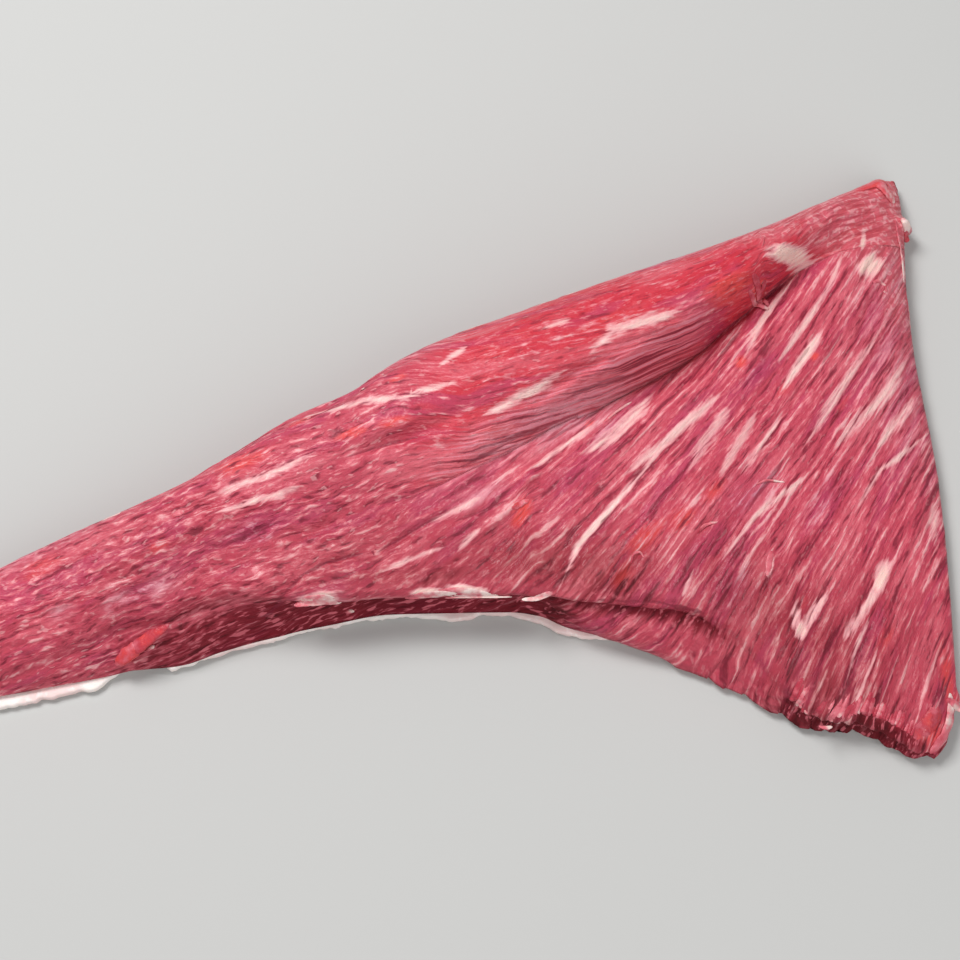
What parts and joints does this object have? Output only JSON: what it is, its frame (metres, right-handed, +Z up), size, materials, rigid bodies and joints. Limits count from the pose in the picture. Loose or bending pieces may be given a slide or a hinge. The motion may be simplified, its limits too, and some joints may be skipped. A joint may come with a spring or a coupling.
{
  "type": "raw tri-tip steak",
  "caption": "Whole raw beef tri-tip lying on its thin fat cap: a narrow tail, a wide straight side, a thick roll of muscle along one edge and a creased fan of coarse fibres.",
  "frame": {"origin": "middle of the footprint, on the surface that the steak lies on", "axes": "+X from the tail to the wide side, +Y towards the thick roll, +Z up out of the trimmed face"},
  "size_m": [0.3408, 0.2017, 0.042],
  "materials": {
    "lean": "moist, with white marbling along the fibres",
    "fat": "satin, cream-white, thin and ragged at its rim"
  },
  "bodies": {
    "root": {"lean_meat": "lean", "fat_cap": "fat"}
  },
  "joints": []
}
